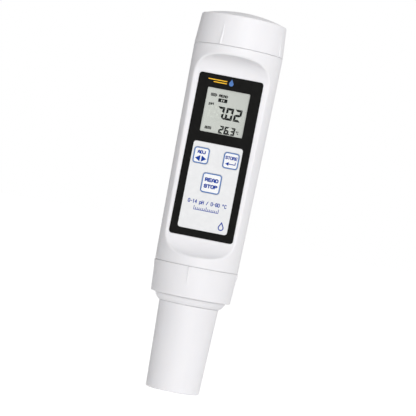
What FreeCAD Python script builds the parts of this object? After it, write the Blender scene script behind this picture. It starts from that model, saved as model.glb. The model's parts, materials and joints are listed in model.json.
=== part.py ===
import FreeCAD, Part
import math
import os
import re

import Sketcher

# A pocket pH and temperature tester with a screw-on battery cap, a round housing with a flat
# front recess, a screw collar that holds a plug-in electrode module, and a pull-off storage cap.
# It stands on its storage cap. +Z is up, the display faces -Y, and the origin is the middle of
# the storage cap's foot. Lengths are in millimetres and angles in degrees.

SIZES = [
    # storage cap
    ("cap_height", 39.0),
    ("cap_foot_radius", 12.05),
    ("cap_mouth_radius", 13.4),
    ("cap_wall", 1.5),
    ("cap_floor", 2.5),
    ("cap_edge", 0.8),
    ("sponge_height", 4.0),
    # electrode module: sleeve, cone and spigot
    ("sleeve_foot", 13.0),
    ("sleeve_radius", 10.0),
    ("sleeve_bore", 8.5),
    ("guard_notch", 2.4),
    ("sleeve_ring_level", 33.0),
    ("cone_foot", 39.1),
    ("cone_top", 42.2),
    ("cone_low_radius", 13.75),
    ("cone_high_radius", 15.95),
    ("cone_bulge", 6.0),
    ("module_neck_radius", 15.6),
    ("shoulder_level", 45.0),
    ("retainer_radius", 16.6),
    ("retainer_height", 1.2),
    ("spigot_radius", 14.0),
    ("spigot_top", 53.5),
    ("spigot_ring_level", 49.5),
    ("sensor_floor", 18.0),
    ("sensor_plate", 4.0),
    ("bulb_radius", 4.0),
    ("bulb_wall", 0.7),
    ("stem_top", 46.0),
    ("probe_orbit", 6.2),
    ("pin_orbit", 6.0),
    ("pin_radius", 0.6),
    ("pin_top", 59.0),
    ("junction_radius", 1.2),
    ("probe_radius", 1.1),
    ("wire_radius", 0.4),
    # screw collar
    ("collar_foot", 42.4),
    ("collar_top", 56.3),
    ("collar_foot_radius", 18.0),
    ("collar_top_radius", 18.78),
    ("collar_bore", 17.0),
    ("collar_lip_bore", 15.9),
    ("collar_lip", 2.2),
    # housing
    ("housing_foot", 56.4),
    ("housing_top", 154.1),
    ("housing_foot_radius", 18.75),
    ("housing_top_radius", 20.05),
    ("flank_arc", 40000.0),
    ("edge_break", 0.1),
    ("cavity_radius", 16.2),
    ("cavity_floor", 60.0),
    ("cavity_front", -8.4),
    ("cavity_top", 151.0),
    ("socket_floor", 57.5),
    ("lower_neck_foot", 47.0),
    ("lower_neck_radius", 15.9),
    ("lower_neck_bore", 14.4),
    ("upper_neck_top", 163.0),
    ("upper_neck_radius", 17.6),
    ("key_slot_half", 1.8),
    ("key_slot_radius", 16.8),
    # screw threads
    ("thread_pitch", 3.0),
    ("thread_height", 0.8),
    ("thread_overlap", 0.2),
    ("thread_root_half", 0.75),
    ("thread_crest_half", 0.35),
    ("lower_thread_start", 48.2),
    ("upper_thread_start", 158.0),
    ("thread_length", 3.9),
    # front recess: flat floor with arched, hollow-ground ends
    ("recess_floor", -10.3),
    ("recess_low", 60.8),
    ("recess_high", 150.1),
    ("recess_arch", 80.0),
    ("recess_ramp", 8.6),
    ("recess_edge", 1.0),
    # label, window and key panel, stacked flush with the recess floor
    ("film_thick", 0.26),
    ("film_front", -10.33),
    ("film_gap", 0.05),
    ("label_width", 28.7),
    ("label_low", 69.1),
    ("label_high", 141.5),
    ("label_corner", 1.3),
    ("window_width", 19.0),
    ("window_low", 115.8),
    ("window_high", 135.5),
    ("window_corner", 0.35),
    ("panel_width", 22.2),
    ("panel_low", 72.4),
    ("panel_high", 111.2),
    ("panel_corner", 1.25),
    # keys
    ("key_front", -10.5),
    ("key_shoulder", -8.2),
    ("key_back", -7.8),
    ("key_tip", -7.2),
    ("key_gap", 0.12),
    ("key_corner", 1.3),
    ("key_flange", 0.9),
    ("key_tip_radius", 1.2),
    ("dome_foot_radius", 2.2),
    ("dome_tip_radius", 0.9),
    ("dome_height", 0.5),
    ("upper_key_width", 6.9),
    ("upper_key_height", 7.2),
    ("upper_key_offset", 6.7),
    ("upper_key_level", 105.1),
    ("lower_key_width", 8.6),
    ("lower_key_height", 8.8),
    ("lower_key_level", 93.7),
    # display and board
    ("glass_half_width", 10.6),
    ("glass_low", 114.6),
    ("glass_high", 136.7),
    ("glass_front", -9.95),
    ("glass_back", -8.45),
    ("board_front", -6.1),
    ("board_back", -5.1),
    ("board_half_width", 14.2),
    ("board_low", 64.0),
    ("board_high", 148.0),
    ("screw_offset", 4.5),
    ("screw_head_radius", 1.7),
    ("screw_head_height", 0.75),
    ("screw_shank_radius", 0.8),
    ("upper_screw_level", 144.0),
    ("lower_screw_level", 68.0),
    # batteries and their cradle
    ("cell_radius", 5.15),
    ("cell_orbit", 10.8),
    ("cell_spread", 29.4),
    ("cell_low", 108.2),
    ("cell_length", 44.5),
    ("nub_height", 0.8),
    ("nub_radius", 1.9),
    ("cradle_low", 100.0),
    ("cradle_floor", 2.8),
    ("cradle_high", 151.0),
    ("cradle_front", -4.6),
    ("spring_radius", 2.4),
    ("spring_wire", 0.3),
    ("spring_pitch", 1.3),
    ("contact_radius", 3.5),
    # battery cap with its contact carrier
    ("lid_foot", 154.2),
    ("lid_rim", 168.0),
    ("lid_top", 171.0),
    ("lid_rim_radius", 18.8),
    ("lid_rim_round", 0.35),
    ("lid_bore", 18.6),
    ("boss_foot", 157.0),
    ("boss_radius", 4.0),
    ("carrier_foot", 153.75),
    ("carrier_thick", 2.9),
    ("carrier_radius", 15.85),
    ("shoulder_radius", 1.7),
    # slack between stacked pieces, and how far cutters run past what they cut
    ("slack", 0.05),
    ("overcut", 1.0),
    # raised alignment ribs
    ("rib_radius", 0.75),
    ("rib_proud", 0.5),
    ("rib_sink", 0.1),
    ("rib_root", 1.0),
    ("pivot_head_radius", 3.0),
    ("pivot_thread_radius", 1.1),
    ("lid_rib_angle", 21.8),
    ("lid_rib_length", 11.3),
    ("collar_rib_angle", 5.3),
    ("collar_rib_length", 9.8),
]

NAMES = {name for name, _ in SIZES}

doc = FreeCAD.newDocument("ph_tester")
sheet = doc.addObject("Spreadsheet::Sheet", "Dims")
for row, (alias, number) in enumerate(SIZES, start=1):
    sheet.set("A%d" % row, alias)
    sheet.set("B%d" % row, str(number))
    sheet.setAlias("B%d" % row, alias)
doc.recompute()

pieces = []


# Formulas: text in the sheet's aliases, such as "cap_height - cap_wall".

def bound(formula):
    """The formula with each alias written the way an expression reads it."""
    return re.sub(r"[a-z_]+", lambda word: "Dims." + word[0] if word[0] in NAMES else word[0], formula)


def value(formula):
    """What the formula comes to."""
    return float(sheet.evalExpression(bound(formula)))


def bind(item, sizes):
    """Binds each named property of the item to its formula."""
    for name, formula in sizes.items():
        item.setExpression(name, bound(formula))
    return item


def place(item, x="0", y="0", z="0", rotation=None):
    """Puts the item's own origin at a point given by formulas."""
    if rotation:
        item.Placement = FreeCAD.Placement(FreeCAD.Vector(), rotation)
    return bind(item, {"Placement.Base.x": x, "Placement.Base.y": y, "Placement.Base.z": z})


def keep(label, item):
    """Names the item as one finished piece."""
    item.Label = label
    pieces.append(item)
    return item


UP_TO_BACK = FreeCAD.Rotation(FreeCAD.Vector(1, 0, 0), -90)
UP_TO_FRONT = FreeCAD.Rotation(FreeCAD.Vector(1, 0, 0), 90)


# Primitives and booleans

def box(name, x_span, y_span, z_span):
    """A block between three pairs of formulas."""
    item = doc.addObject("Part::Box", name)
    spans = (x_span, y_span, z_span)
    for side, (low, high) in zip(("Length", "Width", "Height"), spans):
        bind(item, {side: "(%s) - (%s)" % (high, low)})
    return place(item, x_span[0], y_span[0], z_span[0])


def rod(name, radius, low, high, x="0", y="0"):
    """An upright cylinder."""
    item = doc.addObject("Part::Cylinder", name)
    bind(item, {"Radius": radius, "Height": "(%s) - (%s)" % (high, low)})
    return place(item, x, y, low)


def level_rod(name, radius, front, back, x, z):
    """A cylinder that runs from front to back."""
    item = doc.addObject("Part::Cylinder", name)
    bind(item, {"Radius": radius, "Height": "(%s) - (%s)" % (back, front)})
    return place(item, x, front, z, UP_TO_BACK)


def ring(name, middle_radius, section_radius, z):
    """A round-section seal ring about the object's axis."""
    item = doc.addObject("Part::Torus", name)
    bind(item, {"Radius1": middle_radius, "Radius2": section_radius})
    return place(item, z=z)


def fuse(name, *items):
    """The items joined. Its faces stay split where they met, because merging them spoils the threads."""
    item = doc.addObject("Part::MultiFuse", name)
    item.Shapes = list(items)
    item.Refine = False
    return item


def group(name, *items):
    """Separate solids that make one node."""
    item = doc.addObject("Part::Compound", name)
    item.Links = list(items)
    return item


def cut(name, base, *tools):
    item = doc.addObject("Part::Cut", name)
    item.Base = base
    item.Tool = tools[0] if len(tools) == 1 else fuse(name + "_tools", *tools)
    return item


def common(name, base, tool):
    item = doc.addObject("Part::Common", name)
    item.Base = base
    item.Tool = tool
    return item


# Sketched features

def origin_item(body, role):
    """One of the body's own origin planes or axes."""
    return next(item for item in body.Origin.OriginFeatures if item.Role == role)


def add_sketch(body, name, plane, offset="0"):
    """An empty sketch on one of the body's own planes, moved along that plane's normal."""
    sketch = body.newObject("Sketcher::SketchObject", name)
    sketch.AttachmentSupport = [(origin_item(body, plane), "")]
    sketch.MapMode = "FlatFace"
    return bind(sketch, {"AttachmentOffset.Base.z": offset})


def arc_between(start, end, radius):
    """An arc that bulges to the right of the way from start to end, or left if radius is negative."""
    if radius < 0:
        start, end = end, start
    chord = end - start
    left = FreeCAD.Vector(-chord.y, chord.x, 0).normalize()
    middle = (start + end) / 2 + left * math.sqrt(radius ** 2 - chord.Length ** 2 / 4)
    first, last = (math.atan2(point.y - middle.y, point.x - middle.x) for point in (start, end))
    if last < first:
        last += 2 * math.pi
    circle = Part.Circle(middle, FreeCAD.Vector(0, 0, 1), abs(radius))
    return Part.ArcOfCircle(circle, first, last)


def bind_point(sketch, number, end, across, along):
    """Holds one end of a sketch line at a pair of formulas."""
    for kind, formula in (("DistanceX", across), ("DistanceY", along)):
        index = sketch.addConstraint(Sketcher.Constraint(kind, -1, 1, number, end, value(formula)))
        sketch.setExpression("Constraints[%d]" % index, bound(formula))


def outline(sketch, corners, arcs=None):
    """A closed outline through corners. arcs maps a corner's number to the radius of the side after it."""
    arcs = arcs or {}
    points = [FreeCAD.Vector(value(across), value(along), 0) for across, along in corners]
    ends = []
    for number, start in enumerate(points):
        finish = points[(number + 1) % len(points)]
        radius = value(arcs.get(number, "0"))
        side = arc_between(start, finish, radius) if radius else Part.LineSegment(start, finish)
        sketch.addGeometry(side, False)
        ends.append((2, 1) if radius < 0 else (1, 2))
    for number, (first, last) in enumerate(ends):
        after = (number + 1) % len(points)
        sketch.addConstraint(Sketcher.Constraint("Coincident", number, last, after, ends[after][0]))
        bind_point(sketch, number, first, *corners[number])
    for number, radius in arcs.items():
        size = abs(value(radius))
        index = sketch.addConstraint(Sketcher.Constraint("Radius", number, size))
        sketch.setExpression("Constraints[%d]" % index, bound("abs(%s)" % radius))


def revolved(name, corners, arcs=None):
    """A body turned about its Z axis from corners given as radius and height."""
    body = doc.addObject("PartDesign::Body", name)
    sketch = add_sketch(body, name + "_outline", "XZ_Plane")
    outline(sketch, corners, arcs)
    feature = body.newObject("PartDesign::Revolution", name + "_turned")
    feature.Profile = sketch
    feature.ReferenceAxis = (origin_item(body, "Z_Axis"), [""])
    feature.Angle = 360
    return body


def add_thread(body, name, root, crest, start):
    """A right-hand ridge wound up the body's axis from root to crest radius."""
    sketch = add_sketch(body, name + "_profile", "XZ_Plane")
    outline(sketch, [
        (root, "%s - thread_root_half" % start),
        (crest, "%s - thread_crest_half" % start),
        (crest, "%s + thread_crest_half" % start),
        (root, "%s + thread_root_half" % start),
    ])
    ridge = body.newObject("PartDesign::AdditiveHelix", name)
    ridge.Profile = sketch
    ridge.ReferenceAxis = (origin_item(body, "Z_Axis"), [""])
    ridge.Mode = "pitch-height-angle"
    bind(ridge, {"Pitch": "thread_pitch", "Height": "thread_length"})


def rounded_block(name, width, height, corner, front, back, x, z):
    """A block with rounded upright edges, seen from the front, centred on x and z."""
    body = doc.addObject("PartDesign::Body", name)
    sketch = add_sketch(body, name + "_face", "XZ_Plane", "-(%s)" % back)
    left, right = "(%s) - (%s) / 2" % (x, width), "(%s) + (%s) / 2" % (x, width)
    low, high = "(%s) - (%s) / 2" % (z, height), "(%s) + (%s) / 2" % (z, height)
    outline(sketch, [(left, low), (right, low), (right, high), (left, high)])
    pad = body.newObject("PartDesign::Pad", name + "_pad")
    pad.Profile = sketch
    bind(pad, {"Length": "(%s) - (%s)" % (back, front)})
    doc.recompute()
    rounding = body.newObject("PartDesign::Fillet", name + "_corners")
    runs_back = [
        "Edge%d" % number
        for number, edge in enumerate(pad.Shape.Edges, start=1)
        if abs(edge.tangentAt(edge.FirstParameter).y) > 0.99
    ]
    rounding.Base = (pad, runs_back)
    bind(rounding, {"Radius": corner})
    return body


def spanned_block(name, width, low, high, corner, front, back):
    """A rounded block between two heights, centred left to right."""
    height, middle = "(%s) - (%s)" % (high, low), "((%s) + (%s)) / 2" % (high, low)
    return rounded_block(name, width, height, corner, front, back, "0", middle)


def rib(name, angle, thick_end, thick_radius, thin_end, thin_radius):
    """A slim rod that sinks into a round wall. Its thick end stands proud and its thin end is flush."""
    turn = math.radians(value(angle))
    out = FreeCAD.Vector(-math.sin(turn), -math.cos(turn), 0)
    sunk = value("rib_radius")
    start = out * (value(thick_radius) - sunk + value("rib_proud"))
    start.z = value(thick_end)
    end = out * (value(thin_radius) - sunk - value("rib_sink"))
    end.z = value(thin_end)
    item = doc.addObject("Part::Cylinder", name)
    bind(item, {"Radius": "rib_radius"})
    item.Height = (end - start).Length
    item.Placement = FreeCAD.Placement(start, FreeCAD.Rotation(FreeCAD.Vector(0, 0, 1), end - start))
    return item


def ribs(name, first_angle, thick_end, thick_radius, thin_end, thin_radius):
    """Four ribs, a quarter turn apart, with their inner sides cut off inside the wall."""
    bars = [
        rib("%s_%d" % (name, turn), "%s + %d" % (first_angle, turn), thick_end, thick_radius,
            thin_end, thin_radius)
        for turn in range(0, 360, 90)
    ]
    low, high = sorted((thick_end, thin_end), key=value)
    core = rod(name + "_core", thick_radius + " - rib_root", low + " - overcut", high + " + overcut")
    return cut(name, fuse(name + "_bars", *bars), core)


# Storage cap

def make_storage_cap():
    inner_foot = "cap_foot_radius - cap_wall"
    inner_mouth = "cap_mouth_radius - cap_wall"
    keep("storage_cap", revolved("storage_cap", [
        ("0", "0"),
        ("cap_foot_radius - cap_edge", "0"),
        ("cap_foot_radius", "cap_edge"),
        ("cap_mouth_radius", "cap_height - edge_break"),
        ("cap_mouth_radius - edge_break", "cap_height"),
        (inner_mouth, "cap_height"),
        (inner_foot, "cap_floor"),
        ("0", "cap_floor"),
    ], {1: "cap_edge", 3: "edge_break"}))
    sponge_foot = "cap_floor + 0.1"
    keep("storage_sponge", rod(
        "sponge", "cap_foot_radius - cap_wall - 0.2", sponge_foot, "cap_floor + sponge_height"))


# Electrode module

def make_module_body():
    ring_low, ring_high = "sleeve_ring_level - 1", "sleeve_ring_level + 1"
    seal_low, seal_high = "spigot_ring_level - 0.8", "spigot_ring_level + 0.8"
    shell = revolved("module_shell", [
        ("sleeve_bore", "sleeve_foot"),
        ("sleeve_radius", "sleeve_foot"),
        ("sleeve_radius", ring_low),
        ("sleeve_radius - 0.8", ring_low),
        ("sleeve_radius - 0.8", ring_high),
        ("sleeve_radius", ring_high),
        ("sleeve_radius", "cone_foot"),
        ("cone_low_radius", "cone_foot"),
        ("cone_high_radius", "cone_top"),
        ("module_neck_radius", "cone_top"),
        ("module_neck_radius", "shoulder_level"),
        ("spigot_radius", "shoulder_level"),
        ("spigot_radius", seal_low),
        ("spigot_radius - 0.9", seal_low),
        ("spigot_radius - 0.9", seal_high),
        ("spigot_radius", seal_high),
        ("spigot_radius", "spigot_top"),
        ("0", "spigot_top"),
        ("0", "spigot_top - 2.5"),
        ("sleeve_bore", "spigot_top - 2.5"),
    ], {7: "cone_bulge"})
    notch_span = ("-guard_notch / 2", "guard_notch / 2")
    reach = ("-sleeve_radius - 1", "sleeve_radius + 1")
    notch_levels = ("sleeve_foot - 1", "sleeve_foot + 2.6")
    keep("electrode_body", cut(
        "electrode_body", shell,
        box("notch_across", reach, notch_span, notch_levels),
        box("notch_along", notch_span, reach, notch_levels)))
    keep("storage_cap_seal", ring("storage_cap_seal", "sleeve_radius + 0.3", "0.95", "sleeve_ring_level"))
    keep("spigot_seal", ring("spigot_seal", "spigot_radius - 0.35", "0.54", "spigot_ring_level"))
    retainer_low, retainer_high = "shoulder_level + 0.02", "shoulder_level + retainer_height"
    keep("collar_retaining_ring", cut(
        "collar_retaining_ring",
        rod("retainer_disc", "retainer_radius", retainer_low, retainer_high),
        rod("retainer_bore", "spigot_radius + 0.03", "shoulder_level - 1", "shoulder_level + 3"),
        box("retainer_split", ("0", "20"), ("-1", "1"), ("shoulder_level - 1", "shoulder_level + 3"))))


def make_sensor():
    plate_top = "sensor_floor + sensor_plate"
    hole = ("sensor_floor - overcut", plate_top + " + overcut")
    disc = rod("sensor_disc", "sleeve_bore - 0.03", "sensor_floor", plate_top)
    keep("sensor_plate", cut(
        "sensor_plate", disc,
        rod("stem_hole", "bulb_radius + slack", *hole),
        rod("junction_hole", "junction_radius + slack", *hole, "probe_orbit"),
        rod("probe_hole", "probe_radius + slack", *hole, "-probe_orbit")))
    inner = "bulb_radius - bulb_wall"
    keep("glass_electrode", revolved("glass_electrode", [
        ("0", "sensor_floor - bulb_radius"),
        ("bulb_radius", "sensor_floor"),
        ("bulb_radius", "stem_top"),
        (inner, "stem_top"),
        (inner, "sensor_floor"),
        ("0", "sensor_floor - " + inner.replace("-", "+")),
    ], {0: "bulb_radius", 4: "-(%s)" % inner}))
    keep("inner_silver_wire", rod("inner_wire", "wire_radius", "sensor_floor - 1", "stem_top + 2"))
    keep("reference_junction", rod(
        "junction", "junction_radius", "sensor_floor - 0.6", plate_top + " + 0.6", "probe_orbit"))
    keep("reference_silver_wire", rod(
        "outer_wire", "wire_radius", plate_top + " + 1", "stem_top + 2", "probe_orbit"))
    keep("temperature_probe", rod(
        "thermistor_tube", "probe_radius", "sleeve_foot + 1.2", plate_top + " + 3", "-probe_orbit"))


def around(count, orbit, make):
    """Makes count items evenly spaced on a circle. make gets a number and its x and y formulas."""
    items = []
    for number in range(count):
        angle = 360 / count * number
        x = "(%s) * cos(%.1f)" % (orbit, angle)
        y = "(%s) * sin(%.1f)" % (orbit, angle)
        items.append(make(number, x, y))
    return items


def make_connector():
    disc_low, disc_high = "spigot_top + 0.1", "spigot_top + 1.4"
    keep("electrode_contact_board", rod("contact_disc", "spigot_radius - 5", disc_low, disc_high))
    pins = around(6, "pin_orbit", lambda number, x, y: rod(
        "pin_%d" % number, "pin_radius", disc_high + " + slack", "pin_top", x, y))
    keep("contact_pins", group("contact_pins", *pins))
    socket = rod("socket_disc", "spigot_radius - 4.8", "socket_floor - 2.1", "cavity_floor - 0.1")
    holes = around(6, "pin_orbit", lambda number, x, y: rod(
        "pin_hole_%d" % number, "pin_radius + 0.3", "socket_floor - 3", "pin_top + 0.1", x, y))
    keep("probe_socket", cut("probe_socket", socket, *holes))


# Screw collar

def make_collar():
    lip_top = "collar_foot + collar_lip"
    body = revolved("collar_body", [
        ("collar_lip_bore", "collar_foot"),
        ("collar_foot_radius - 0.4", "collar_foot"),
        ("collar_foot_radius", "collar_foot + 0.4"),
        ("collar_top_radius", "collar_top - edge_break"),
        ("collar_top_radius - edge_break", "collar_top"),
        ("collar_bore", "collar_top"),
        ("collar_bore", lip_top),
        ("collar_lip_bore", lip_top),
    ], {1: "0.4", 3: "edge_break"})
    add_thread(
        body, "collar_thread", "collar_bore + thread_overlap", "collar_bore - thread_height + 0.1",
        "lower_thread_start + thread_pitch / 2")
    slope = "(collar_top_radius - collar_foot_radius) / (collar_top - collar_foot)"
    thin_radius = "collar_top_radius - collar_rib_length * %s" % slope
    keep("screw_collar", fuse("screw_collar", body, ribs(
        "collar_rib", "collar_rib_angle", "collar_top - 0.15", "collar_top_radius",
        "collar_top - collar_rib_length", thin_radius)))


# Housing

def make_housing_body():
    """The turned outside with both necks, their seal grooves and threads, and the round bores."""
    lower_low, lower_high = "housing_foot - 2.2", "housing_foot - 0.8"
    upper_low, upper_high = "housing_top + 0.8", "housing_top + 2.2"
    body = revolved("housing_body", [
        ("0", "socket_floor"),
        ("lower_neck_bore", "socket_floor"),
        ("lower_neck_bore", "lower_neck_foot"),
        ("lower_neck_radius", "lower_neck_foot"),
        ("lower_neck_radius", lower_low),
        ("lower_neck_radius - 0.5", lower_low),
        ("lower_neck_radius - 0.5", lower_high),
        ("lower_neck_radius", lower_high),
        ("lower_neck_radius", "housing_foot"),
        ("housing_foot_radius - edge_break", "housing_foot"),
        ("housing_foot_radius", "housing_foot + edge_break"),
        ("housing_top_radius", "housing_top - 0.9"),
        ("housing_top_radius - edge_break", "housing_top"),
        ("upper_neck_radius", "housing_top"),
        ("upper_neck_radius", upper_low),
        ("upper_neck_radius - 0.5", upper_low),
        ("upper_neck_radius - 0.5", upper_high),
        ("upper_neck_radius", upper_high),
        ("upper_neck_radius", "upper_neck_top"),
        ("cavity_radius", "upper_neck_top"),
        ("cavity_radius", "cavity_top"),
        ("0", "cavity_top"),
    ], {10: "flank_arc"})
    add_thread(
        body, "lower_thread", "lower_neck_radius - thread_overlap", "lower_neck_radius + thread_height",
        "lower_thread_start")
    add_thread(
        body, "upper_thread", "upper_neck_radius - thread_overlap", "upper_neck_radius + thread_height",
        "upper_thread_start")
    return body


def make_bowl(name, middle):
    """A shallow round bowl that faces the front, whose wall curves up from its floor."""
    depth = "recess_ramp + 16"
    bowl = revolved(name, [
        ("0", "0"),
        ("recess_arch - recess_ramp", "0"),
        ("recess_arch", "recess_ramp"),
        ("recess_arch", depth),
        ("0", depth),
    ], {1: "recess_ramp"})
    return place(bowl, "0", "recess_floor", middle, UP_TO_FRONT)


KEYS = {
    "left_key": ("upper_key_width", "upper_key_height", "-upper_key_offset", "upper_key_level"),
    "right_key": ("upper_key_width", "upper_key_height", "upper_key_offset", "upper_key_level"),
    "lower_key": ("lower_key_width", "lower_key_height", "0", "lower_key_level"),
}


def key_holes(purpose):
    """Cutters for the three key openings."""
    return [
        rounded_block(
            purpose + "_" + name, width + " + 2 * key_gap", height + " + 2 * key_gap",
            "key_corner + key_gap", "recess_floor - 1", "cavity_front + 1", x, z)
        for name, (width, height, x, z) in KEYS.items()
    ]


def is_recess_edge(edge):
    """True for the freeform edges where the recess meets the housing's round outside."""
    start, end = edge.ParameterRange
    points = [edge.valueAt(start + (end - start) * share) for share in (0.1, 0.5, 0.9)]
    return edge.Curve.TypeId == "Part::GeomBSplineCurve" and all(
        point.y < value("recess_floor") + 0.1
        and math.hypot(point.x, point.y) > value("upper_neck_radius + thread_height")
        and value("recess_low") - 0.1 < point.z < value("recess_high") + 0.1
        for point in points)


def make_housing():
    recess = common(
        "front_recess", make_bowl("upper_bowl", "recess_high - recess_arch"),
        make_bowl("lower_bowl", "recess_low + recess_arch"))
    round_cavity = rod("round_cavity", "cavity_radius", "cavity_floor", "cavity_top + 0.5")
    behind_front = box(
        "behind_front", ("-20", "20"), ("cavity_front", "20"), ("cavity_floor - 1", "cavity_top + 1"))
    cavity = common("cavity", round_cavity, behind_front)
    socket_hole = rod("socket_hole", "spigot_radius - 4.7", "socket_floor - 1", "cavity_floor + 1")
    label_seat = spanned_block(
        "label_seat", "label_width + 0.2", "label_low - 0.1", "label_high + 0.1", "label_corner + 0.1",
        "recess_floor - 1", "film_front + film_thick + 0.02")
    glass_hole = box(
        "glass_hole", ("-glass_half_width - 0.3", "glass_half_width + 0.3"),
        ("recess_floor - 1", "cavity_front + 1"), ("glass_low - 0.3", "glass_high + 0.3"))
    key_slots = box(
        "key_slots", ("-key_slot_radius", "key_slot_radius"), ("-key_slot_half", "key_slot_half"),
        ("cavity_top", "upper_neck_top + 1"))
    hollowed = cut(
        "hollowed_housing", make_housing_body(), recess, cavity, socket_hole, label_seat, glass_hole,
        key_slots, *key_holes("wall"))
    doc.recompute()
    edge_radius = value("recess_edge")
    rounded = doc.addObject("Part::Fillet", "main_housing")
    rounded.Base = hollowed
    rounded.Edges = [
        (number, edge_radius, edge_radius)
        for number, edge in enumerate(hollowed.Shape.Edges, start=1)
        if is_recess_edge(edge)
    ]
    keep("main_housing", rounded)
    keep("collar_seal", ring("collar_seal", "lower_neck_radius", "0.45", "housing_foot - 1.5"))
    keep("battery_cap_seal", ring("battery_cap_seal", "upper_neck_radius", "0.45", "housing_top + 1.5"))


# Label, display window and keys

def make_front():
    film_back = "film_front + film_thick"
    label = spanned_block(
        "label_film", "label_width", "label_low", "label_high", "label_corner", "film_front", film_back)
    window_hole = spanned_block(
        "window_hole", "window_width", "window_low", "window_high", "window_corner", "film_front - 1",
        "film_front + 1")
    panel_hole = spanned_block(
        "panel_hole", "panel_width", "panel_low", "panel_high", "panel_corner", "film_front - 1",
        "film_front + 1")
    keep("front_label", cut("front_label", label, window_hole, panel_hole))
    keep("display_window", spanned_block(
        "display_window", "window_width - 2 * film_gap", "window_low + film_gap",
        "window_high - film_gap", "window_corner", "film_front + 0.04", film_back))
    panel = spanned_block(
        "panel_film", "panel_width - 2 * film_gap", "panel_low + film_gap", "panel_high - film_gap",
        "panel_corner - film_gap", "film_front", film_back)
    keep("key_panel", cut("key_panel", panel, *key_holes("panel")))


def make_keys():
    for name, (width, height, x, z) in KEYS.items():
        face = rounded_block(
            name + "_face", width, height, "key_corner", "key_front", "key_shoulder", x, z)
        flange = rounded_block(
            name + "_flange", "%s + 2 * key_flange" % width, "%s + 2 * key_flange" % height,
            "key_corner", "key_shoulder", "key_back", x, z)
        tip = level_rod(name + "_tip", "key_tip_radius", "key_back - 0.1", "key_tip", x, z)
        keep(name, fuse(name, face, flange, tip))
        dome = doc.addObject("Part::Cone", name + "_dome")
        bind(dome, {"Radius1": "dome_foot_radius", "Radius2": "dome_tip_radius", "Height": "dome_height"})
        keep(name.replace("key", "snap_dome"), place(dome, x, "board_front - slack", z, UP_TO_FRONT))


# Display and circuit board

def make_display():
    keep("display_glass", box(
        "display_glass", ("-glass_half_width", "glass_half_width"), ("glass_front", "glass_back"),
        ("glass_low", "glass_high")))
    frame_front = "glass_back + 0.1"
    frame = box(
        "frame_block", ("-glass_half_width - 1.6", "glass_half_width + 1.6"),
        (frame_front, "board_front - 0.1"), ("glass_low - 2", "glass_high + 2"))
    opening = box(
        "frame_opening", ("-glass_half_width + 0.7", "glass_half_width - 0.7"),
        (frame_front + " - 1", "board_front + 1"), ("glass_low + 0.4", "glass_high - 0.4"))
    keep("display_frame", cut("display_frame", frame, opening))
    strip_sides = ("-glass_half_width + 1", "glass_half_width - 1")
    strip_depth = ("glass_back + slack", "board_front - slack")
    keep("upper_contact_strip", box(
        "upper_strip", strip_sides, strip_depth, ("glass_high - 2", "glass_high - 0.8")))
    keep("lower_contact_strip", box(
        "lower_strip", strip_sides, strip_depth, ("glass_low + 0.8", "glass_low + 2")))


def at_screws(make):
    """Makes an item at each of the four board screws. make gets a name, x and z."""
    return [
        make("%s_%s" % (level.split("_")[0], side), sign + "screw_offset", level)
        for level in ("upper_screw_level", "lower_screw_level")
        for side, sign in (("left", "-"), ("right", ""))
    ]


def make_board():
    board = box(
        "board_blank", ("-board_half_width", "board_half_width"), ("board_front", "board_back"),
        ("board_low", "board_high"))
    holes = at_screws(lambda name, x, z: level_rod(
        "board_hole_" + name, "screw_shank_radius + 0.2", "board_front - overcut", "board_back + overcut",
        x, z))
    keep("circuit_board", cut("circuit_board", board, *holes))
    keep("board_screws", group("board_screws", *at_screws(lambda name, x, z: fuse(
        "screw_" + name,
        level_rod(
            "screw_head_" + name, "screw_head_radius", "board_front - slack - screw_head_height",
            "board_front - slack", x, z),
        level_rod(
            "screw_shank_" + name, "screw_shank_radius", "board_front - 0.1", "cradle_front + 1.6", x, z)))))
    chip_depth = ("board_front - 1.4", "board_front - slack")
    keep("microcontroller", box("controller_chip", ("1", "8"), chip_depth, ("76", "83")))
    keep("electrode_amplifier", box("amplifier_chip", ("-9", "-5"), chip_depth, ("71", "76")))
    keep("clock_crystal", box("crystal_can", ("-6", "-3.5"), chip_depth, ("78", "86")))
    leads = [
        rod(
            "lead_%d" % number, "wire_radius", "cavity_floor - slack", "board_low - slack",
            x, "board_front + 0.5")
        for number, x in enumerate(("-4", "0", "4"))
    ]
    keep("socket_leads", group("socket_leads", *leads))


# Batteries, their cradle and contacts

CELL_STEPS = [3, 1, -1, -3]


def cell_place(steps):
    """The x and y formulas of a cell, steps times cell_spread round from the back."""
    return "cell_orbit * sin(%d * cell_spread)" % steps, "cell_orbit * cos(%d * cell_spread)" % steps


def make_cells():
    for number, steps in enumerate(CELL_STEPS, start=1):
        x, y = cell_place(steps)
        nub_up = number % 2 == 1
        low = "cell_low" if nub_up else "cell_low + nub_height"
        high = "cell_low + cell_length - nub_height" if nub_up else "cell_low + cell_length"
        can = rod("can_%d" % number, "cell_radius", low, high, x, y)
        nub_low = high + " - 0.1" if nub_up else "cell_low"
        nub_high = high + " + nub_height" if nub_up else low + " + 0.1"
        keep("battery_cell_%d" % number, fuse(
            "cell_%d" % number, can, rod("nub_%d" % number, "nub_radius", nub_low, nub_high, x, y)))


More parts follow.
